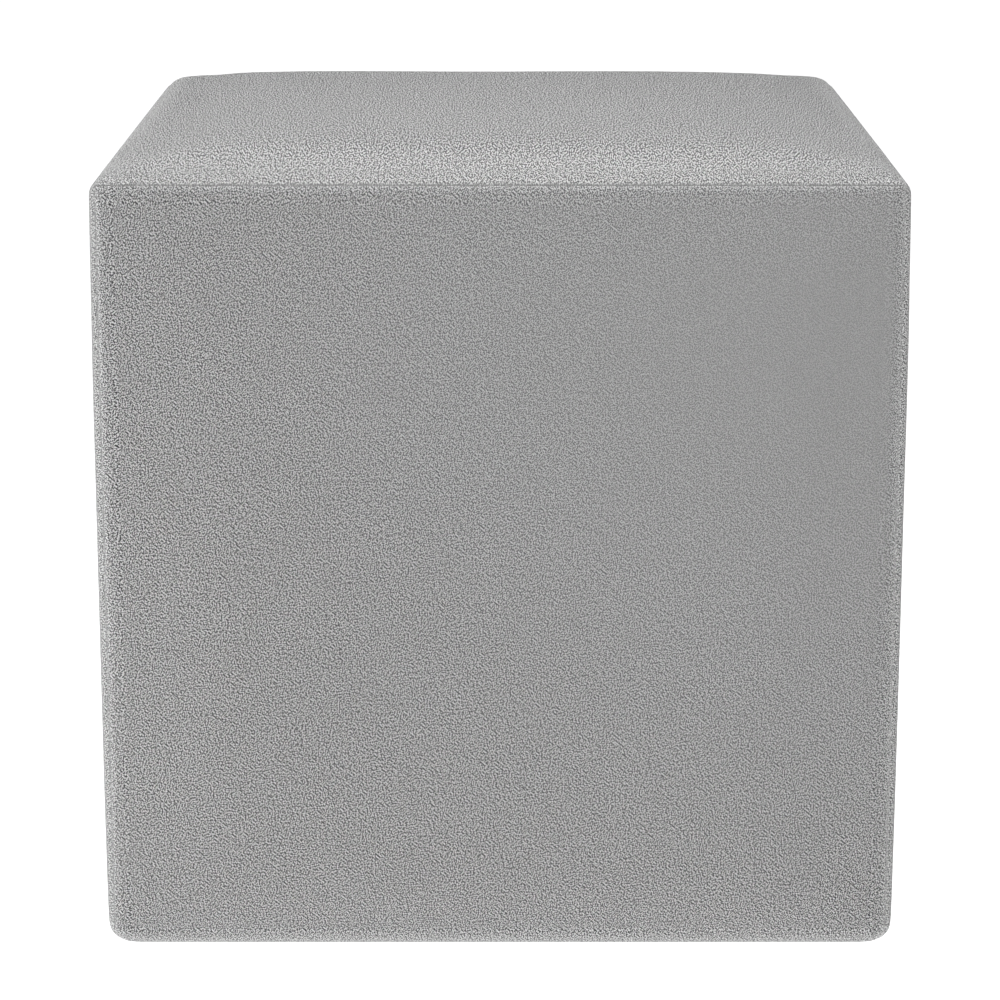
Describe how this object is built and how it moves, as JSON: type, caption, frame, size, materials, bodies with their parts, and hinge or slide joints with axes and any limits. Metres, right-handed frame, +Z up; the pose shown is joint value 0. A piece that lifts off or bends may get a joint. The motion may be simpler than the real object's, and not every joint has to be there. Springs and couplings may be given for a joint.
{
  "type": "cube pouf stool",
  "caption": "Firm filled cube pouf stool in a tight grey cloth cover with crowned panels, drawn-in seams and a flat underside.",
  "frame": {"origin": "on the floor under the middle of the base", "axes": "+Z up, -Y out of the front face, +X to the right as seen from the front"},
  "size_m": [0.4498, 0.4492, 0.4421],
  "materials": {
    "cover_cloth": "mid grey upholstery cloth with a fine raised grain of about 2 mm, matt",
    "base_cloth": "plain grey base cloth, matt",
    "filling": "firm upholstery filling in a pale inner cloth, matt"
  },
  "bodies": {
    "root": {"filled_body": "filling", "top_panel": "cover_cloth", "front_panel": "cover_cloth", "right_panel": "cover_cloth", "back_panel": "cover_cloth", "left_panel": "cover_cloth", "base_panel": "base_cloth"}
  },
  "joints": []
}
